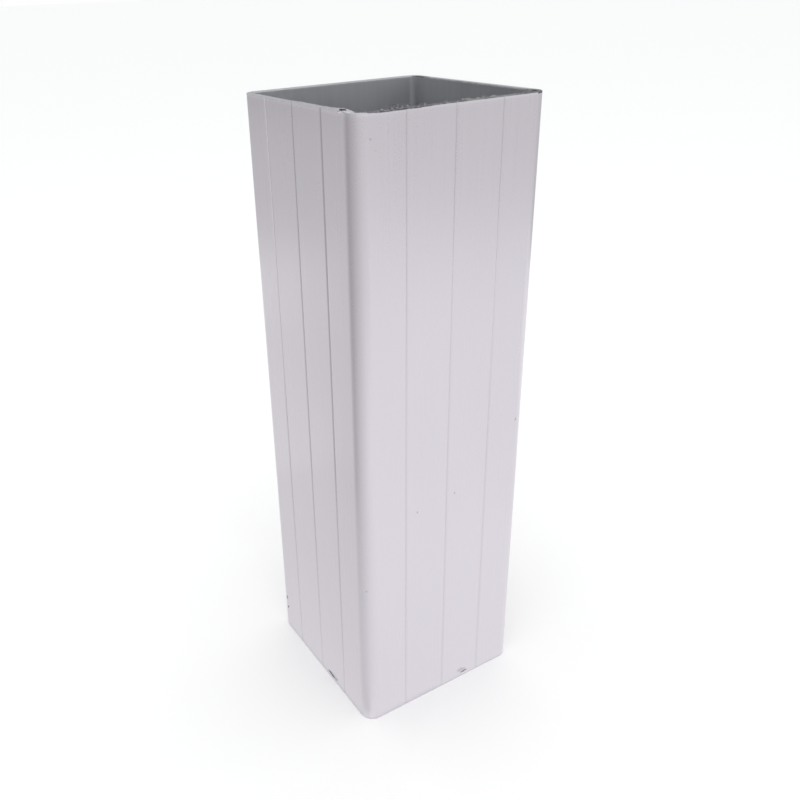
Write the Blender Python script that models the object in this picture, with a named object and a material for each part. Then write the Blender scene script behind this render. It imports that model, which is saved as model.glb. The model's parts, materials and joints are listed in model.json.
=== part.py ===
"""A sawn length of square hollow aluminium patio post, with fine grooves down each face.

Metres, +Z up. The origin is the middle of the lower saw cut. The face at -Y and the face at -X
are the two that a person standing in front of the post's near corner sees.
"""
import math

import bmesh
import bpy
from mathutils import Matrix, Vector

# Driving dimensions
WIDTH = 0.100  # across the flats, the same both ways
HEIGHT = 0.320  # from saw cut to saw cut
WALL = 0.003
OUTER_RADIUS = 0.0075  # outside corners
INNER_RADIUS_SHARE = 0.6  # inside corners have this share of the radius that an even wall would give
SMALLEST_INNER_RADIUS = 0.001
GROOVES_PER_FACE = 3
GROOVE_WIDTH = 0.0012  # at the surface
GROOVE_DEPTH = 0.0005
CORNER_STEPS = 12  # flats that make up a quarter round

# Finish
METAL_COLOUR = (0.72, 0.71, 0.73, 1.0)
METAL_ROUGHNESS = 0.38

# Gouges left by the saw and by handling: length along the edge, width across, depth into the metal
RIM_NICK = (0.0042, 0.0016, 0.0009)
LEFT_GOUGE = (0.0110, 0.0014, 0.0011)
RIGHT_GOUGE = (0.0045, 0.0012, 0.0008)
RIM_NICK_FROM_EDGE = 0.0091  # from the near corner, along the top cut of the -X wall
LEFT_GOUGE_FROM_EDGE = 0.0380  # from the near corner, along the -X face
RIGHT_GOUGE_FROM_EDGE = 0.0650  # from the near corner, along the -Y face
GOUGE_HEIGHT = 0.0030  # of both gouges' middles over the lower cut

# Worked out from the above
HALF = WIDTH / 2
INNER_HALF = HALF - WALL
INNER_RADIUS = max(INNER_RADIUS_SHARE * (OUTER_RADIUS - WALL), SMALLEST_INNER_RADIUS)
GROOVE_PITCH = WIDTH / (GROOVES_PER_FACE + 1)  # the grooves divide a face into equal strips


def clear_scene():
    for thing in list(bpy.data.objects):
        bpy.data.objects.remove(thing)


def quarter_turn(point, quarter):
    turned = Matrix.Rotation(math.radians(90 * quarter), 2) @ Vector(point)
    return Vector((turned.x, turned.y, 0.0))


def corner_arc(half, radius):
    """The corner at +X, -Y of a square with rounded corners, from the -Y side to the +X side."""
    middle = half - radius
    points = []
    for step in range(CORNER_STEPS + 1):
        angle = math.radians(90 * step / CORNER_STEPS - 90)
        points.append((middle + radius * math.cos(angle), -middle + radius * math.sin(angle)))
    return points


def groove_points():
    """Three points for each V groove, along the face at -Y."""
    points = []
    for number in range(GROOVES_PER_FACE):
        centre = (number - (GROOVES_PER_FACE - 1) / 2) * GROOVE_PITCH
        points.append((centre - GROOVE_WIDTH / 2, -HALF))
        points.append((centre, -HALF + GROOVE_DEPTH))
        points.append((centre + GROOVE_WIDTH / 2, -HALF))
    return points


def closed_outline(side):
    """Repeats one side's points round the four sides, counter-clockwise."""
    return [quarter_turn(point, quarter) for quarter in range(4) for point in side]


def add_loop(mesh, points):
    verts = [mesh.verts.new(point) for point in points]
    return [mesh.edges.new((verts[i - 1], verts[i])) for i in range(len(verts))]


def extruded_section():
    """The hollow section, filled between its two outlines and drawn up to full height."""
    mesh = bmesh.new()
    outer = add_loop(mesh, closed_outline(groove_points() + corner_arc(HALF, OUTER_RADIUS)))
    inner = add_loop(mesh, closed_outline(corner_arc(INNER_HALF, INNER_RADIUS)))
    bmesh.ops.triangle_fill(mesh, use_beauty=True, edges=outer + inner)
    drawn = bmesh.ops.extrude_face_region(mesh, geom=mesh.faces[:])
    raised = [item for item in drawn["geom"] if isinstance(item, bmesh.types.BMVert)]
    bmesh.ops.translate(mesh, verts=raised, vec=(0.0, 0.0, HEIGHT))
    bmesh.ops.recalc_face_normals(mesh, faces=mesh.faces[:])
    return mesh


def metal():
    material = bpy.data.materials.new("satin_aluminium")
    material.use_nodes = True
    shader = material.node_tree.nodes["Principled BSDF"]
    shader.inputs["Base Color"].default_value = METAL_COLOUR
    shader.inputs["Metallic"].default_value = 1.0
    shader.inputs["Roughness"].default_value = METAL_ROUGHNESS
    return material


def new_object(name, mesh):
    data = bpy.data.meshes.new(name)
    mesh.to_mesh(data)
    mesh.free()
    thing = bpy.data.objects.new(name, data)
    bpy.context.scene.collection.objects.link(thing)
    return thing


def gouge(name, place, size, side):
    """A long shallow dish, cut where the saw or a knock tore the metal. Its length lies level."""
    length, width, depth = size
    mesh = bmesh.new()
    bmesh.ops.create_uvsphere(mesh, u_segments=12, v_segments=8, radius=1.0)
    reach = {
        "top": (width / 2, length / 2, depth),
        "left": (depth, length / 2, width / 2),
        "right": (length / 2, depth, width / 2),
    }[side]
    bmesh.ops.scale(mesh, verts=mesh.verts[:], vec=reach)
    cutter = new_object(name, mesh)
    cutter.location = place
    cutter.hide_render = True
    cutter.display_type = "WIRE"
    return cutter


def cut(thing, cutter):
    boolean = thing.modifiers.new(cutter.name, "BOOLEAN")
    boolean.operation = "DIFFERENCE"
    boolean.solver = "EXACT"
    boolean.object = cutter


def build():
    clear_scene()
    post = new_object("post", extruded_section())
    post.data.materials.append(metal())
    post.data.shade_smooth()
    post.data.set_sharp_from_angle(angle=math.radians(25))
    mid_wall = HALF - WALL / 2
    left_along = -HALF + LEFT_GOUGE_FROM_EDGE
    right_along = -HALF + RIGHT_GOUGE_FROM_EDGE
    rim_along = -HALF + RIM_NICK_FROM_EDGE
    cut(post, gouge("rim_nick_cutter", (-mid_wall, rim_along, HEIGHT), RIM_NICK, "top"))
    cut(post, gouge("left_gouge_cutter", (-HALF, left_along, GOUGE_HEIGHT), LEFT_GOUGE, "left"))
    cut(post, gouge("right_gouge_cutter", (right_along, -HALF, GOUGE_HEIGHT), RIGHT_GOUGE, "right"))


build()
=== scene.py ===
import json
import math

import bpy
from mathutils import Matrix, Vector

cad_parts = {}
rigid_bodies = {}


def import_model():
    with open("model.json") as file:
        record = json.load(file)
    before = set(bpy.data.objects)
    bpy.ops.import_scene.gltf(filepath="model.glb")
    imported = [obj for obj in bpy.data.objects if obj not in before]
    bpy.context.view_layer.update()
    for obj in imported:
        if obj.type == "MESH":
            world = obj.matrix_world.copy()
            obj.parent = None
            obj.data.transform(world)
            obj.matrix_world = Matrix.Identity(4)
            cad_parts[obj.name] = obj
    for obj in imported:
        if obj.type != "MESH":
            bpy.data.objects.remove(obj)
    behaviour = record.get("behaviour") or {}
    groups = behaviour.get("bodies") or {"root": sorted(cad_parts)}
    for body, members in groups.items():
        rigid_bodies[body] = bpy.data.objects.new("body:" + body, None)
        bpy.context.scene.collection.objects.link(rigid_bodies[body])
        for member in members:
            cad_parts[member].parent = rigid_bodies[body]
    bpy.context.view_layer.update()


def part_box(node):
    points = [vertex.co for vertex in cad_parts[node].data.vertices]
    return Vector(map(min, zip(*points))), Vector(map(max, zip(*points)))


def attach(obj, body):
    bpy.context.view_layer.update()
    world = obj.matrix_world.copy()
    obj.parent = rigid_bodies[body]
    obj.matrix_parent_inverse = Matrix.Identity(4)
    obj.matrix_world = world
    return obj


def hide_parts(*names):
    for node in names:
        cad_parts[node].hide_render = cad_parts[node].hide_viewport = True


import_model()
postLow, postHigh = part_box("post")
print("frame loaded")


# Small helpers for working as by hand
def deselectAll():
    for thing in bpy.context.view_layer.objects:
        thing.select_set(False)


def makeActive(thing):
    deselectAll()
    thing.select_set(True)
    bpy.context.view_layer.objects.active = thing


def selectVerts(thing, wanted):
    # picks vertices by their place, from object mode, and goes into edit mode on vertices
    bpy.ops.object.mode_set(mode="EDIT")
    bpy.ops.mesh.select_mode(type="VERT")
    bpy.ops.mesh.select_all(action="DESELECT")
    bpy.ops.object.mode_set(mode="OBJECT")
    for vert in thing.data.vertices:
        vert.select = wanted(vert.co)
    bpy.ops.object.mode_set(mode="EDIT")


def selectFaces(thing, wanted):
    # picks faces by their middle and normal, and goes into edit mode on faces
    bpy.ops.object.mode_set(mode="EDIT")
    bpy.ops.mesh.select_mode(type="FACE")
    bpy.ops.mesh.select_all(action="DESELECT")
    bpy.ops.object.mode_set(mode="OBJECT")
    for face in thing.data.polygons:
        face.select = wanted(face.center, face.normal)
    bpy.ops.object.mode_set(mode="EDIT")


def applyModifiers(thing):
    makeActive(thing)
    for modifier in list(thing.modifiers):
        bpy.ops.object.modifier_apply(modifier=modifier.name)


# Node helpers
def noise(tree, stretch, scale, detail=2.0):
    # noise on a piece's own coordinates, drawn out along the axes whose stretch is small
    coordinates = tree.nodes.new("ShaderNodeTexCoord")
    mapping = tree.nodes.new("ShaderNodeMapping")
    mapping.inputs["Scale"].default_value = stretch
    texture = tree.nodes.new("ShaderNodeTexNoise")
    texture.inputs["Scale"].default_value = scale
    texture.inputs["Detail"].default_value = detail
    tree.links.new(coordinates.outputs["Object"], mapping.inputs["Vector"])
    tree.links.new(mapping.outputs["Vector"], texture.inputs["Vector"])
    return texture.outputs["Fac"]


def between(tree, value, low, high, fromLow=0.3, fromHigh=0.7):
    # turns a noise's middle range into a range of its own
    node = tree.nodes.new("ShaderNodeMapRange")
    tree.links.new(value, node.inputs["Value"])
    node.inputs["From Min"].default_value, node.inputs["From Max"].default_value = fromLow, fromHigh
    node.inputs["To Min"].default_value, node.inputs["To Max"].default_value = low, high
    return node.outputs["Result"]


def calculate(tree, operation, first, second):
    node = tree.nodes.new("ShaderNodeMath")
    node.operation = operation
    for socket, value in zip(node.inputs, (first, second)):
        if isinstance(value, (int, float)):
            socket.default_value = value
        else:
            tree.links.new(value, socket)
    return node.outputs["Value"]


def mixColours(tree, factor, first, second):
    node = tree.nodes.new("ShaderNodeMix")
    node.data_type = "RGBA"
    tree.links.new(factor, node.inputs["Factor"])
    for name, value in (("A", first), ("B", second)):
        socket = next(item for item in node.inputs if item.name == name and item.type == "RGBA")
        if isinstance(value, tuple):
            socket.default_value = value
        else:
            tree.links.new(value, socket)
    return next(item for item in node.outputs if item.type == "RGBA")


def along(tree, axis):
    # a piece's own X, Y or Z
    coordinates = tree.nodes.new("ShaderNodeTexCoord")
    parts = tree.nodes.new("ShaderNodeSeparateXYZ")
    tree.links.new(coordinates.outputs["Object"], parts.inputs["Vector"])
    return parts.outputs[axis]


def fromMiddle(tree):
    # distance from a piece's own origin
    coordinates = tree.nodes.new("ShaderNodeTexCoord")
    length = tree.nodes.new("ShaderNodeVectorMath")
    length.operation = "LENGTH"
    tree.links.new(coordinates.outputs["Object"], length.inputs[0])
    return length.outputs["Value"]


# Camera
view = {
    "place": (-0.2213, -0.3285, 0.3655),  # metres
    "turn": -29.86,  # degrees round the upright axis, 0 looks along +Y
    "down": 26.37,  # degrees below level
    "roll": -2.23,
    "lens": 37.3,  # millimetres
    "sensor": 36,  # millimetres across
    "shift": (0.0781, -0.010),
    "clip": (0.01, 100),  # metres
}


def addCamera():
    bpy.ops.object.camera_add()
    camera = bpy.context.object
    camera.name = "photoCamera"
    turn = Matrix.Rotation(math.radians(view["turn"]), 4, "Z")
    tilt = Matrix.Rotation(math.radians(90 - view["down"]), 4, "X")
    roll = Matrix.Rotation(math.radians(view["roll"]), 4, "Z")
    camera.matrix_world = Matrix.Translation(view["place"]) @ turn @ tilt @ roll
    camera.data.sensor_width = view["sensor"]
    camera.data.lens = view["lens"]
    camera.data.shift_x, camera.data.shift_y = view["shift"]
    camera.data.clip_start, camera.data.clip_end = view["clip"]
    bpy.context.scene.camera = camera


deselectAll()
addCamera()
print("camera placed")


# Floor, lights, sky and the grey cards that the satin faces mirror
studio = {
    "floorSize": 60,  # metres
    "floorColour": (0.965, 0.965, 0.965, 1),
    "floorRoughness": 0.9,
    "sky": (0.99, 1.0, 1.0, 1),
    "skyStrength": 1.0,
    "lamps": {
        # name: place, size across, watts, colour
        "overhead": ((-0.5, -0.8, 2.4), 1.6, 8, (1.0, 0.98, 0.99)),
    },
    "cards": {
        # name: bearing and distance from the near corner, height of the lower edge, whether it lies flat,
        # width, length, grey; a bearing of 0 is +X and 90 is +Y
        "backRight": (0, 0.90, 0.0, False, 0.50, 0.9, 0.64),
        "behindRight": (30, 0.90, 0.0, False, 0.50, 0.9, 0.58),
        "behind": (60, 0.90, 0.0, False, 0.50, 0.9, 0.58),
        "behindLeft": (90, 0.90, 0.0, False, 0.50, 0.9, 0.63),
        "backLeft": (120, 0.90, 0.0, False, 0.50, 0.9, 0.64),
        "highLeft": (113, 0.86, 0.205, False, 0.60, 0.105, 0.53),
        "topLeft": (122, 0.80, 0.31, False, 0.80, 0.30, 0.16),
        "frontRight": (270, 1.05, 0.0, False, 0.58, 0.9, 0.70),
        "right": (300, 1.05, 0.0, False, 0.58, 0.9, 0.70),
        "farRight": (330, 1.05, 0.0, False, 0.58, 0.9, 0.70),
        "leftMat": (122, 0.465, 0.001, True, 0.24, 0.92, 0.76),
        "farLeftMat": (99, 0.590, 0.0012, True, 0.20, 0.66, 0.86),
        "rightMat": (308, 0.545, 0.001, True, 0.60, 1.03, 0.95),
    },
    "ringSides": 144,
    "ringTurn": 225,  # a ring's own +X points away from the post, so its seam lies inside the post
    "fan": {
        # a round mat under the near corner; each row is a bearing and its greys close in and farther out
        "radius": 0.24,
        "height": 0.0024,
        "blend": (0.03, 0.16),  # from the corner, metres
        "greys": (
            (60, 0.85, 0.83), (95, 0.845, 0.825), (120, 0.82, 0.775), (142, 0.74, 0.62), (165, 0.725, 0.65),
            (185, 0.765, 0.70), (205, 0.80, 0.765), (221, 0.84, 0.81), (238, 0.875, 0.865),
            (255, 0.905, 0.91), (274, 0.93, 0.945), (300, 0.95, 0.97),
        ),
    },
    "screen": {
        # part of an upright ring round the near corner; each row is a bearing and its greys low and high
        "radius": 0.14,
        "foot": 0.055,
        "length": 0.9,
        "blend": (0.055, 0.232),  # over the foot, metres
        "greys": (
            (123, 0.66, 0.61), (133, 0.60, 0.54), (144, 0.51, 0.40), (152, 0.51, 0.40),
            (161, 0.535, 0.44), (178, 0.62, 0.50), (193, 0.695, 0.55),
            (208, 0.76, 0.595), (222, 0.805, 0.64), (236, 0.86, 0.675), (250, 0.91, 0.705),
            (264, 0.95, 0.73), (285, 0.96, 0.74),
        ),
    },
}


def plainShader(name, colour, roughness, gloss=0.2):
    material = bpy.data.materials.new(name)
    material.use_nodes = True
    shader = material.node_tree.nodes["Principled BSDF"]
    shader.inputs["Base Color"].default_value = colour
    shader.inputs["Roughness"].default_value = roughness
    shader.inputs["Specular IOR Level"].default_value = gloss
    return material


def glowShader(name, grey):
    # gives off an even grey by itself, so that a card looks the same from every side
    material = plainShader(name, (0, 0, 0, 1), 1.0, 0.0)
    shader = material.node_tree.nodes["Principled BSDF"]
    shader.inputs["Emission Color"].default_value = (grey, grey, grey, 1)
    shader.inputs["Emission Strength"].default_value = 1.0
    return material


def bearingGreys(tree, rows, column):
    # blends from one bearing's grey to the next, counted from the ring's seam
    seam = studio["ringTurn"] - 180
    coordinates = tree.nodes.new("ShaderNodeTexCoord")
    turn = tree.nodes.new("ShaderNodeTexGradient")
    turn.gradient_type = "RADIAL"
    tree.links.new(coordinates.outputs["Object"], turn.inputs["Vector"])
    ramp = tree.nodes.new("ShaderNodeValToRGB")
    stops = ramp.color_ramp.elements
    stops.remove(stops[1])
    for number, row in enumerate(rows):
        place = (row[0] - seam) / 360
        stop = stops.new(place) if number else stops[0]
        stop.position = place
        stop.color = (row[column], row[column], row[column], 1)
    tree.links.new(turn.outputs["Fac"], ramp.inputs["Fac"])
    return ramp.outputs["Color"]


def addRing(name, look, height, isUpright):
    # a flat round mat, or an upright ring cut off at its first and last bearing
    bpy.ops.mesh.primitive_circle_add(
        vertices=studio["ringSides"], radius=look["radius"], fill_type="NOTHING" if isUpright else "NGON",
        location=(postLow.x, postLow.y, height))
    ring = bpy.context.object
    ring.name = name
    if isUpright:
        first, last = (math.radians(look["greys"][end][0] - studio["ringTurn"]) for end in (0, -1))
        bpy.ops.object.mode_set(mode="EDIT")
        bpy.ops.mesh.select_all(action="SELECT")
        bpy.ops.mesh.extrude_region_move(TRANSFORM_OT_translate={"value": (0, 0, look["length"])})
        bpy.ops.object.mode_set(mode="OBJECT")
        selectVerts(ring, lambda co: not first < math.atan2(co.y, co.x) < last)
        bpy.ops.mesh.delete(type="VERT")
        bpy.ops.object.mode_set(mode="OBJECT")
    ring.rotation_euler.z = math.radians(studio["ringTurn"])
    material = glowShader(name, 0)
    tree = material.node_tree
    span = along(tree, "Z") if isUpright else fromMiddle(tree)
    share = between(tree, span, 0, 1, *look["blend"])
    nearGreys, farGreys = (bearingGreys(tree, look["greys"], column) for column in (1, 2))
    greys = mixColours(tree, share, nearGreys, farGreys)
    tree.links.new(greys, tree.nodes["Principled BSDF"].inputs["Emission Color"])
    ring.data.materials.append(material)
    onlyMirrored(ring)


def onlyMirrored(card):
    # a card that shows in the post's faces, and neither in the picture nor in the light
    card.visible_camera = False
    card.visible_diffuse = False
    card.visible_shadow = False


def addFloor():
    bpy.ops.mesh.primitive_plane_add(size=studio["floorSize"], location=(0, 0, 0))
    floor = bpy.context.object
    floor.name = "paleFloor"
    floor.data.materials.append(plainShader("paleFloor", studio["floorColour"], studio["floorRoughness"]))


def addLamps():
    aim = (postLow + postHigh) / 2
    for name, (place, size, watts, colour) in studio["lamps"].items():
        bpy.ops.object.light_add(type="AREA", location=place)
        lamp = bpy.context.object
        lamp.name = name
        lamp.data.shape = "DISK"
        lamp.data.size = size
        lamp.data.energy = watts
        lamp.data.color = colour
        lamp.visible_camera = False
        lamp.rotation_euler = (aim - Vector(place)).to_track_quat("-Z", "Y").to_euler()


def addCards():
    # each card faces the near corner, or lies just over the floor and points at it
    corner = Vector((postLow.x, postLow.y, 0))
    for name, (bearing, distance, foot, lying, width, length, grey) in studio["cards"].items():
        away = Matrix.Rotation(math.radians(bearing), 3, "Z") @ Vector((1, 0, 0))
        lift = Vector((0, 0, foot if lying else foot + length / 2))
        bpy.ops.mesh.primitive_plane_add(size=1, location=corner + away * distance + lift)
        card = bpy.context.object
        card.name = name + "Card"
        card.scale = (width, length, 1)
        card.rotation_euler = (0 if lying else math.radians(90), 0, math.radians(bearing - 90))
        card.data.materials.append(glowShader(card.name, grey))
        onlyMirrored(card)


def addSky():
    world = bpy.data.worlds.new("softSky")
    world.use_nodes = True
    world.node_tree.nodes["Background"].inputs["Color"].default_value = studio["sky"]
    world.node_tree.nodes["Background"].inputs["Strength"].default_value = studio["skyStrength"]
    bpy.context.scene.world = world
    bpy.context.scene.view_settings.view_transform = "Standard"


deselectAll()
addFloor()
addLamps()
addCards()
addRing("fan", studio["fan"], studio["fan"]["height"], False)
addRing("screen", studio["screen"], studio["screen"]["foot"], True)
addSky()
print("studio ready")


# The post, drawn again with a finer mesh
post = {
    "wall": 0.0030,
    "cornerRadius": 0.0075,
    "hollowRadius": 0.0027,  # the hollow's corners are tighter than an even wall would give
    "cornerFlats": 14,
    "columnCuts": (7, 16),  # each straight side in 8, then each eighth in 17: 0.625 mm apart
    "edgeStrip": 0.00025,  # a narrow strip along both edges of the saw cut
    "outerDrop": 0.00012,  # how far the outer edges of both cuts were taken back
    "innerDrop": 0.00055,  # and the inner edges
    "keptInner": -0.0450,  # up to this X, in the near left wall, the top's inner edge keeps its full height
    "cutBand": 0.0006,  # the upper cut and its worn edges lie within this depth
    "grooves": (-0.025, 0.0, 0.025),  # from the middle of each face
    "grooveDepth": 0.00030,
    "cutRings": (0.0008, 0.0012, 0.0016, 0.0020, 0.0025, 0.0032, 0.0042, 0.006, 0.009),
    "middleSpans": 8,
    "smoothAngle": 30,  # degrees; sharper bends between faces stay sharp
}
postWidth = postHigh.x - postLow.x
postHeight = postHigh.z - postLow.z
halfWidth = postWidth / 2
tiny = 0.00005  # closer than this counts as the same place


def ringHeights():
    # rings of vertices crowd together near both saw cuts
    low = list(post["cutRings"])
    high = [postHeight - rise for rise in reversed(low)]
    step = (high[0] - low[-1]) / post["middleSpans"]
    middle = [low[-1] + step * number for number in range(1, post["middleSpans"])]
    return low + middle + high + [postHeight]


def drawPost():
    bpy.ops.mesh.primitive_plane_add(size=postWidth, location=(0, 0, 0))
    thing = bpy.context.object
    thing.name = "drawnPost"
    bpy.ops.object.mode_set(mode="EDIT")
    bpy.ops.mesh.select_all(action="SELECT")
    bpy.ops.mesh.bevel(offset=post["cornerRadius"], segments=post["cornerFlats"], affect="VERTICES")
    bpy.ops.mesh.select_mode(type="EDGE")
    bpy.ops.mesh.select_all(action="DESELECT")
    bpy.ops.object.mode_set(mode="OBJECT")
    for edge in thing.data.edges:
        a, b = (thing.data.vertices[index].co for index in edge.vertices)
        edge.select = (a - b).length > postWidth / 2
    bpy.ops.object.mode_set(mode="EDIT")
    for cuts in post["columnCuts"]:
        bpy.ops.mesh.subdivide(number_cuts=cuts)
    bpy.ops.mesh.select_mode(type="FACE")
    bpy.ops.mesh.select_all(action="SELECT")
    strip = post["edgeStrip"]
    for thickness in (strip, post["wall"] - 2 * strip, strip):
        bpy.ops.mesh.inset(thickness=thickness)
    bpy.ops.mesh.delete(type="FACE")  # the inset leaves the middle face selected
    bpy.ops.mesh.select_all(action="SELECT")
    reached = 0.0
    for height in ringHeights():
        bpy.ops.mesh.extrude_region_move(TRANSFORM_OT_translate={"value": (0, 0, height - reached)})
        reached = height
    bpy.ops.mesh.select_all(action="SELECT")
    bpy.ops.mesh.normals_make_consistent(inside=False)
    bpy.ops.object.mode_set(mode="OBJECT")
    return thing


def pressGrooves(thing):
    strip = post["edgeStrip"]
    for across, along, side in ((0, 1, -1), (0, 1, 1), (1, 0, -1), (1, 0, 1)):
        push = [0.0, 0.0, 0.0]
        push[along] = -side * post["grooveDepth"]

        def inGroove(co):
            # the face itself, and the strip just inside its edge
            nearFace = side * co[along] > halfWidth - strip - tiny
            return nearFace and any(abs(co[across] - line) < tiny for line in post["grooves"])

        selectVerts(thing, inGroove)
        bpy.ops.transform.translate(value=push)
        bpy.ops.object.mode_set(mode="OBJECT")


def outwardReach(co):
    # distance from the post's middle, measured square to the nearest face or round the corner
    middle = halfWidth - post["cornerRadius"]
    x, y = abs(co.x), abs(co.y)
    if x > middle and y > middle:
        return middle + math.hypot(x - middle, y - middle)
    return max(x, y)


def edgeLevels():
    # the four edges of the two saw cuts: level, how far it moves up, and whether it is an inner edge
    outer, inner = post["outerDrop"], post["innerDrop"]
    return (
        (0.0, outer, False), (0.0, inner, True),
        (postHeight, -outer, False), (postHeight, -inner, True),
    )


def onEdge(co, isInner):
    reach = outwardReach(co)
    if isInner:
        return reach < halfWidth - post["wall"] + post["edgeStrip"] / 2
    return reach > halfWidth - post["edgeStrip"] / 2


def breakEdges(thing):
    # both edges of each saw cut are taken back a little, and the torn one goes down a step at a time
    for level, drop, isInner in edgeLevels():
        kept = post["keptInner"] if isInner and level > 0 else -postWidth
        selectVerts(thing, lambda co: abs(co.z - level) < tiny and onEdge(co, isInner) and co.x > kept)
        bpy.ops.transform.translate(value=(0, 0, drop))
        bpy.ops.object.mode_set(mode="OBJECT")
    for start, end in burr["tornSteps"]:
        selectVerts(thing, lambda co: co.z > postHeight - post["cutBand"] and co.y < tiny - halfWidth
                    and start < co.x < end)
        bpy.ops.transform.translate(value=(0, 0, -burr["tornDrop"] / len(burr["tornSteps"])))
        bpy.ops.object.mode_set(mode="OBJECT")


# Burrs left by the saw
burr = {
    "tornSteps": (
        # where the near right wall's cut is torn, along X: the whole stretch, then its lower steps
        (-0.0430, 0.0475), (-0.0410, -0.0180), (-0.0390, -0.0130),
    ),
    "tornDrop": 0.00040,  # of its outer edge where all the steps lie over one another
    "tornAcross": -0.0455,  # the near right wall's dark metal ends at this Y
    "tornMargin": 0.0007,  # dark metal to either side of a clump
    "waver": 0.00008,  # every edge of both cuts strays this much
    "clumps": (
        # flakes on the near right wall's inner edge: middle, half length, height, lean into the hollow
        (-0.0415, 0.0010, 0.0006, 0.0004),
        (-0.0355, 0.0012, 0.0008, 0.0005),
        (-0.0290, 0.0026, 0.0019, 0.0004),
        (-0.0240, 0.0016, 0.0014, 0.0005),
        (-0.0155, 0.0014, 0.0011, 0.0003),
        (-0.0040, 0.0012, 0.0008, 0.0005),
        (0.0070, 0.0020, 0.0010, 0.0006),
        (0.0130, 0.0010, 0.0009, 0.0004),
        (0.0160, 0.0012, 0.0011, 0.0006),
        (0.0205, 0.0016, 0.0009, 0.0003),
        (0.0390, 0.0020, 0.0008, 0.0004),
    ),
    "scatter": 0.00030,  # how far each flake's vertices stray
    "seed": 4,
    "proudCut": {
        # the near left wall's cut rises a little towards the corner: one lift for each stretch, along Y
        "lift": 0.00015,
        "band": 0.0007,  # depth below the top that is lifted
        "wallTo": -0.0452,  # the lift takes in all up to this X, just inside the hollow
        "stretches": (
            (-0.0452, 0.0040), (-0.0446, -0.0020), (-0.0440, -0.0240),
            (-0.0434, -0.0300), (-0.0428, -0.0340), (-0.0423, -0.0370),
        ),
    },
}


def raiseBurrs(thing):
    strip = post["edgeStrip"]
    innerEdge = halfWidth - post["wall"]
    highEdge = postHeight - post["innerDrop"]

    def onAnyEdge(co):
        return any(
            abs(co.z - level - drop) < tiny and onEdge(co, isInner)
            for level, drop, isInner in edgeLevels())

    for number, (middle, halfLength, lift, lean) in enumerate(burr["clumps"]):
        selectVerts(thing, lambda co: abs(co.z - highEdge) < tiny and abs(co.y + innerEdge) < strip / 2
                    and abs(co.x - middle) < halfLength)
        bpy.ops.transform.translate(value=(0, lean, lift))
        bpy.ops.transform.vertex_random(
            offset=burr["scatter"], uniform=0.0, normal=0.0, seed=burr["seed"] + number)
        bpy.ops.object.mode_set(mode="OBJECT")
    selectVerts(thing, onAnyEdge)
    bpy.ops.transform.vertex_random(offset=burr["waver"], uniform=0.0, normal=0.0, seed=burr["seed"])
    bpy.ops.object.mode_set(mode="OBJECT")


def tightenHollow(thing):
    # each rounded corner of the hollow shrinks towards the sharp corner that its two walls would meet in
    wall, strip = post["wall"], post["edgeStrip"]
    roundMiddle = halfWidth - post["cornerRadius"]
    newMiddle = halfWidth - wall - post["hollowRadius"]
    for sharp in (halfWidth - wall, halfWidth - wall + strip):
        share = (sharp - newMiddle) / (sharp - roundMiddle)
        for sideX, sideY in ((1, 1), (-1, 1), (-1, -1), (1, -1)):
            selectVerts(thing, lambda co: abs(outwardReach(co) - sharp) < strip / 2
                        and sideX * co.x > roundMiddle - tiny and sideY * co.y > roundMiddle - tiny)
            bpy.ops.transform.resize(
                value=(share, share, 1), center_override=(sideX * sharp, sideY * sharp, 0))
            bpy.ops.object.mode_set(mode="OBJECT")


def raiseCut(thing):
    proud = burr["proudCut"]
    for near, far in proud["stretches"]:
        selectVerts(thing, lambda co: co.z > postHeight - proud["band"] and co.x < proud["wallTo"]
                    and near < co.y < far)
        bpy.ops.transform.translate(value=(0, 0, proud["lift"]))
        bpy.ops.object.mode_set(mode="OBJECT")


# Knocks and gouges: place, reach along X, Y and Z, turn in degrees about the axis that the face looks along
marks = {
    "cuts": {
        "rimNick": ((-0.0490, -0.0409, 0.3207), (0.0011, 0.0021, 0.0009), (0, 0, 0)),
        "leftGouge": ((-0.0500, -0.0120, 0.0031), (0.0011, 0.0050, 0.00065), (4, 0, 0)),
        "rightGouge": ((0.0158, -0.0500, 0.0029), (0.0024, 0.0007, 0.00040), (0, -8, 0)),
        "lowDent": ((-0.0499, 0.0418, 0.0153), (0.0004, 0.0005, 0.0012), (14, 0, 0)),
        "highDent": ((-0.0499, 0.0425, 0.0225), (0.0004, 0.0005, 0.0014), (-8, 0, 0)),
        "lowHair": ((0.0140, -0.0500, 0.0046), (0.0030, 0.00020, 0.00018), (0, -9, 0)),
        "highHair": ((0.0128, -0.0500, 0.0057), (0.0022, 0.00018, 0.00016), (0, -13, 0)),
        "longScratch": ((0.0448, -0.0500, 0.2020), (0.00016, 0.00015, 0.0040), (0, 2, 0)),
        "shortScratch": ((0.0431, -0.0500, 0.1610), (0.00022, 0.0002, 0.0009), (0, 30, 0)),
    },
    "lips": {
        "leftLip": ((-0.0500, -0.0140, 0.0040), (0.00035, 0.0042, 0.00045), (4, 0, 0)),
        "leftFootLip": ((-0.0500, -0.0110, 0.0022), (0.00030, 0.0048, 0.00045), (3, 0, 0)),
        "rightLip": ((0.0150, -0.0500, 0.0037), (0.0022, 0.0002, 0.00030), (0, -9, 0)),
        "nickLip": ((-0.0499, -0.0405, 0.3200), (0.0004, 0.0024, 0.00045), (0, 0, 0)),
    },
    "raggedness": 0.22,  # of each mark's size
    "raggedScale": 0.9,
    "ballSteps": 4,
}


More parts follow.
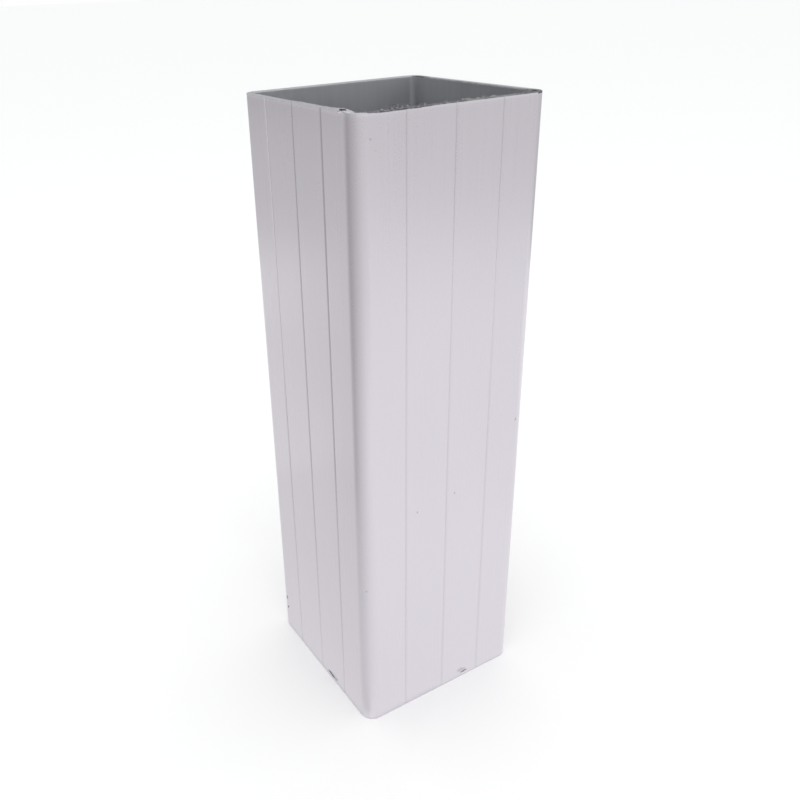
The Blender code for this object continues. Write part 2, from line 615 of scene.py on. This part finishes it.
def roughStone(name, place, reach, turn):
    # a ball whose surface is broken up while it is still round, then drawn out to the mark's own size
    bpy.ops.mesh.primitive_ico_sphere_add(subdivisions=marks["ballSteps"], radius=1.0, location=(0, 0, 0))
    stone = bpy.context.object
    stone.name = name
    grain = bpy.data.textures.new(name, "CLOUDS")
    grain.noise_scale = marks["raggedScale"]
    ruffle = stone.modifiers.new("ruffle", "DISPLACE")
    ruffle.texture = grain
    ruffle.strength = marks["raggedness"]
    applyModifiers(stone)
    stone.scale = reach
    stone.rotation_euler = [math.radians(angle) for angle in turn]
    stone.location = place
    bpy.ops.object.transform_apply(location=True, rotation=True, scale=True)
    return stone


def carve(thing, stones, operation):
    # joins the stones into one and cuts them out of the post, or melts them onto it
    deselectAll()
    for stone in stones:
        stone.select_set(True)
    bpy.context.view_layer.objects.active = stones[0]
    bpy.ops.object.join()
    cutter = bpy.context.object
    # the gouges' walls take the dark torn metal, which paints their shade
    finishName = "tornMetalAndShade" if operation == "DIFFERENCE" else "satinMetal"
    cutter.data.materials.append(thing.data.materials[finishName])
    knife = thing.modifiers.new(operation.title(), "BOOLEAN")
    knife.operation = operation
    knife.solver = "EXACT"
    knife.material_mode = "TRANSFER"
    knife.object = cutter
    applyModifiers(thing)
    bpy.data.objects.remove(cutter)


# Finishes: every noise is given as its stretch along X, Y and Z, its scale and its detail
finish = {
    "satin": {
        "colour": (0.735, 0.700, 0.755, 1),
        "roughness": 0.30,
        "roughSpread": (0.025, 0.02),  # less and more, along the drawn lines
        "clouds": ((1, 1, 0.35), 26, 3),
        "drawn": ((1, 1, 0.012), 700, 3),
        "shares": (0.6, 0.4),  # of the clouds and the drawn lines in the tone
        "tints": (0.985, 1.012),  # darkest and lightest, as shares of the colour
        "grain": ((1, 1, 1), 2600, 2),
        "grainRoughness": 0.02,  # less or more
        "grainHeight": 0.3,  # beside the drawn lines' 1
        "bump": 0.0000015,  # metres
        # the pale tint of the worn scuffs and of the painted highlight under the upper cut
        "wearAndHighlightTint": 1.30,
        "scuffs": (0.0040, 0.12),  # depth below the upper cut, share of light
        "scuffNoise": ((1, 1, 14), 110, 3),
        "scuffEdge": (0.4, 0.6),
        "rimLight": (0.0016, 0.0009, 0.25),  # painted highlight under the upper cut's edge: depths where it starts and is full, share of the pale tint
        "grooveShade": (0.0010, 0.050),  # reach to either side of each groove, share of painted shade
        "footShade": (0.0012, 0.11),  # height, share of dark
        "speckTint": 0.55,
    },
    "mill": {
        "colour": (0.56, 0.57, 0.595, 1),
        "roughness": 0.58,
        "roughSpread": (0.03, 0.03),
        "lines": ((1, 1, 0.006), 420, 4),
        "blotches": ((1, 1, 0.5), 90, 3),
        "shares": (0.6, 0.4),  # of the lines and the blotches
        "tints": (0.95, 1.04),
        "bump": 0.000005,
    },
    "sawn": {
        "colour": (0.60, 0.60, 0.63, 1),
        "roughness": 0.38,
        "roughSpread": (0.06, 0.10),
        "bladeShift": (0.16, 0.02, 0),  # from the blade's middle, beside the post, to the post's
        "arcs": {"Scale": 260, "Distortion": 1.5, "Detail": 2.0, "Detail Scale": 0.4},
        "smear": ((1, 1, 1), 500, 3),
        "shares": (0.4, 0.6),  # of the arcs and the smear
        "tints": (0.80, 1.10),
        "dirtTint": 0.22,
        "bump": 0.00002,
    },
    "torn": {
        # dark enough to paint the shade in the gouges and under the burrs as well as the metal's own grey
        "colour": (0.175, 0.175, 0.19, 1),
        "roughness": 0.60,
        "grain": ((1, 1, 1), 2200, 4),
        "tints": (0.5, 1.5),
        "bits": ((1, 1, 1), 900, 1),
        "bitEdge": (0.56, 0.68),
        "bitTint": 2.5,
        "paleColour": (0.38, 0.375, 0.355, 1),
        "bump": 0.0002,
    },
    "faceEdge": (0.0490, 0.0495),  # from the post's middle line, where a face's painted groove shade comes in
    "dirtCore": 0.3,  # of a groove's reach, fully shaded
    "spotNoise": ((1, 1, 1), 1500, 2),
    "spotWaver": (0.6, 1.5),
    "spotCore": 0.6,  # of a spot's radius, full
    "specks": (
        # place, radius, darkness
        ((-0.0423, -0.0500, 0.3100), 0.0006, 0.55),
        ((-0.0401, -0.0500, 0.3055), 0.0005, 0.22),
        ((-0.0341, -0.0500, 0.3121), 0.0006, 0.22),
        ((-0.0486, -0.0480, 0.3183), 0.0005, 0.60),
        ((0.0049, -0.0500, 0.1300), 0.0006, 0.90),
        ((-0.0182, -0.0500, 0.1270), 0.0005, 0.90),
        ((-0.0478, -0.0478, 0.0890), 0.0005, 0.80),
    ),
    "dirtyCorners": (
        # place on the rim, radius, darkness
        ((-0.0490, 0.0480, 0.3200), 0.0014, 1.0),
        ((0.0485, 0.0490, 0.3200), 0.0026, 1.0),
        ((0.0485, 0.0415, 0.3200), 0.0065, 0.75),
        ((0.0460, -0.0487, 0.3200), 0.0030, 1.0),
        ((0.0487, -0.0455, 0.3200), 0.0060, 0.8),
    ),
    "paleRim": (
        # place on the torn rim, radius, share of light
        ((0.0250, -0.0480, 0.3200), 0.0090, 0.55),
        ((0.0100, -0.0480, 0.3200), 0.0060, 0.6),
    ),
}
cutLean = 0.3  # a face whose normal rises or falls more than this belongs to a cut
black = (0, 0, 0, 1)


def metal(name, look):
    material = plainShader(name, look["colour"], look["roughness"], 0.5)
    shader = material.node_tree.nodes["Principled BSDF"]
    shader.inputs["Metallic"].default_value = 1.0
    return material, material.node_tree, shader


def spots(tree, places):
    # each spot's share inside it and 0 outside, with a soft uneven edge
    coordinates = tree.nodes.new("ShaderNodeTexCoord")
    wobble = noise(tree, *finish["spotNoise"])
    total = None
    for place, radius, share in places:
        gap = tree.nodes.new("ShaderNodeVectorMath")
        gap.operation = "DISTANCE"
        tree.links.new(coordinates.outputs["Object"], gap.inputs[0])
        gap.inputs[1].default_value = place
        waver = between(tree, wobble, *finish["spotWaver"])
        uneven = calculate(tree, "MULTIPLY", gap.outputs["Value"], waver)
        spot = between(tree, uneven, share, 0.0, radius * finish["spotCore"], radius)
        total = spot if total is None else calculate(tree, "MAXIMUM", total, spot)
    return total


def grooveLines(tree, reach):
    # the painted groove shade's mask: 1 on the middle of any groove and 0 from its reach on
    total = None
    for axis, other in (("X", "Y"), ("Y", "X")):
        outward = calculate(tree, "ABSOLUTE", along(tree, other), 0.0)
        onFace = between(tree, outward, 0, 1, *finish["faceEdge"])
        for line in post["grooves"]:
            gap = calculate(tree, "ABSOLUTE", calculate(tree, "SUBTRACT", along(tree, axis), line), 0.0)
            shaded = between(tree, gap, 1.0, 0.0, reach * finish["dirtCore"], reach)
            near = calculate(tree, "MULTIPLY", shaded, onFace)
            total = near if total is None else calculate(tree, "MAXIMUM", total, near)
    return total


def addBump(tree, shader, height, depth):
    bump = tree.nodes.new("ShaderNodeBump")
    bump.inputs["Strength"].default_value = 1.0
    bump.inputs["Distance"].default_value = depth
    tree.links.new(height, bump.inputs["Height"])
    tree.links.new(bump.outputs["Normal"], shader.inputs["Normal"])


def tinted(colour, share):
    return tuple(value * share for value in colour[:3]) + (1,)


def mottled(tree, look, first, second, firstFull=(0.3, 0.7)):
    # the colour between its two tints, by two patterns that each have their share
    firstShare, secondShare = look["shares"]
    tone = calculate(
        tree, "ADD", between(tree, first, 0, firstShare, *firstFull), between(tree, second, 0, secondShare))
    darkest, lightest = (tinted(look["colour"], share) for share in look["tints"])
    return mixColours(tree, tone, darkest, lightest)


def roughened(tree, look, pattern):
    less, more = look["roughSpread"]
    return between(tree, pattern, look["roughness"] - less, look["roughness"] + more)


def satinMetal():
    # the anodised outside: faint drawn lines, soft clouds and a few specks
    look = finish["satin"]
    material, tree, shader = metal("satinMetal", look)
    colour, wearAndHighlight = look["colour"], tinted(look["colour"], look["wearAndHighlightTint"])
    drawn = noise(tree, *look["drawn"])
    grain = noise(tree, *look["grain"])
    base = mottled(tree, look, noise(tree, *look["clouds"]), drawn)
    reach, share = look["scuffs"]
    top = between(tree, along(tree, "Z"), 0, share, postHeight - reach, postHeight)
    scuffs = between(tree, noise(tree, *look["scuffNoise"]), 0, 1, *look["scuffEdge"])
    base = mixColours(tree, calculate(tree, "MULTIPLY", top, scuffs), base, wearAndHighlight)
    # painted highlight: the faces lighten towards the pale tint just under the upper cut's edge
    reach, full, share = look["rimLight"]
    bright = between(tree, along(tree, "Z"), 0, share, postHeight - reach, postHeight - full)
    base = mixColours(tree, bright, base, wearAndHighlight)
    # painted shade: each groove is darker along its middle
    reach, share = look["grooveShade"]
    base = mixColours(tree, calculate(tree, "MULTIPLY", grooveLines(tree, reach), share), base, black)
    reach, share = look["footShade"]
    base = mixColours(tree, between(tree, along(tree, "Z"), share, 0, 0, reach), base, black)
    base = mixColours(tree, spots(tree, finish["specks"]), base, tinted(colour, look["speckTint"]))
    tree.links.new(base, shader.inputs["Base Color"])
    grainShare = between(tree, grain, -look["grainRoughness"], look["grainRoughness"])
    satin = calculate(tree, "ADD", roughened(tree, look, drawn), grainShare)
    tree.links.new(satin, shader.inputs["Roughness"])
    height = calculate(tree, "ADD", drawn, between(tree, grain, 0, look["grainHeight"]))
    addBump(tree, shader, height, look["bump"])
    return material


def millMetal():
    # the bare inside, duller, with the die's own lines down it
    look = finish["mill"]
    material, tree, shader = metal("millMetal", look)
    lines = noise(tree, *look["lines"])
    blotches = noise(tree, *look["blotches"])
    tree.links.new(mottled(tree, look, lines, blotches), shader.inputs["Base Color"])
    tree.links.new(roughened(tree, look, blotches), shader.inputs["Roughness"])
    addBump(tree, shader, lines, look["bump"])
    return material


def sawnMetal():
    # the saw's teeth left shallow arcs across the cut
    look = finish["sawn"]
    material, tree, shader = metal("sawnMetal", look)
    coordinates = tree.nodes.new("ShaderNodeTexCoord")
    mapping = tree.nodes.new("ShaderNodeMapping")
    mapping.inputs["Location"].default_value = look["bladeShift"]
    arcs = tree.nodes.new("ShaderNodeTexWave")
    arcs.wave_type = "RINGS"
    arcs.rings_direction = "Z"
    for socket, value in look["arcs"].items():
        arcs.inputs[socket].default_value = value
    tree.links.new(coordinates.outputs["Object"], mapping.inputs["Vector"])
    tree.links.new(mapping.outputs["Vector"], arcs.inputs["Vector"])
    smear = noise(tree, *look["smear"])
    base = mottled(tree, look, arcs.outputs["Fac"], smear, (0, 1))
    dirt = tinted(look["colour"], look["dirtTint"])
    base = mixColours(tree, spots(tree, finish["dirtyCorners"]), base, dirt)
    tree.links.new(base, shader.inputs["Base Color"])
    tree.links.new(roughened(tree, look, smear), shader.inputs["Roughness"])
    addBump(tree, shader, arcs.outputs["Fac"], look["bump"])
    return material


def tornMetalAndShade():
    # ragged metal in the gouges and burrs; its darkness is partly the metal's own grey and partly painted
    # shade in the gouges and under the burrs
    look = finish["torn"]
    material, tree, shader = metal("tornMetalAndShade", look)
    colour = look["colour"]
    grain = noise(tree, *look["grain"])
    darkest, lightest = (tinted(colour, share) for share in look["tints"])
    base = mixColours(tree, between(tree, grain, 0, 1), darkest, lightest)
    bits = between(tree, noise(tree, *look["bits"]), 0, 1, *look["bitEdge"])
    base = mixColours(tree, bits, base, tinted(colour, look["bitTint"]))
    base = mixColours(tree, spots(tree, finish["paleRim"]), base, look["paleColour"])
    tree.links.new(base, shader.inputs["Base Color"])
    addBump(tree, shader, grain, look["bump"])
    return material


def finishFaces(thing):
    # satin is everywhere until the hollow, the saw cuts and the burrs get their own
    inner = halfWidth - post["wall"]
    tornFrom, tornTo = burr["tornSteps"][0]

    def isTorn(middle, normal):
        # the near right wall's cut but for its outer edge, and each clump of flakes with the wall below it
        onCut = middle.z > postHeight - post["cutBand"]
        onWall = tiny - halfWidth < middle.y < burr["tornAcross"]
        nearInner = middle.y > -inner - post["edgeStrip"]
        flaky = any(
            abs(middle.x - place) < halfLength + burr["tornMargin"]
            for place, halfLength, lift, lean in burr["clumps"])
        return onCut and onWall and (tornFrom < middle.x < tornTo or nearInner and flaky)

    def isInside(middle, normal):
        return outwardReach(middle) < inner + tiny and abs(normal.z) < cutLean

    wanted = (
        ("millMetal", isInside),
        ("sawnMetal", lambda middle, normal: abs(normal.z) > cutLean),
        ("tornMetalAndShade", isTorn),
    )
    for finishName, test in wanted:
        selectFaces(thing, test)
        thing.active_material_index = thing.data.materials.find(finishName)
        bpy.ops.object.material_slot_assign()
        bpy.ops.object.mode_set(mode="OBJECT")


deselectAll()
drawnPost = drawPost()
for makeFinish in (satinMetal, millMetal, sawnMetal, tornMetalAndShade):
    drawnPost.data.materials.append(makeFinish())
finishFaces(drawnPost)
breakEdges(drawnPost)
pressGrooves(drawnPost)
raiseBurrs(drawnPost)
raiseCut(drawnPost)
tightenHollow(drawnPost)
print("post drawn:", len(drawnPost.data.polygons), "faces")
carve(drawnPost, [roughStone(name, *mark) for name, mark in marks["lips"].items()], "UNION")
carve(drawnPost, [roughStone(name, *mark) for name, mark in marks["cuts"].items()], "DIFFERENCE")
print("marks cut:", len(drawnPost.data.polygons), "faces")

makeActive(drawnPost)
bpy.ops.object.shade_smooth_by_angle(angle=math.radians(post["smoothAngle"]))
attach(drawnPost, "root")
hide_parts("post")
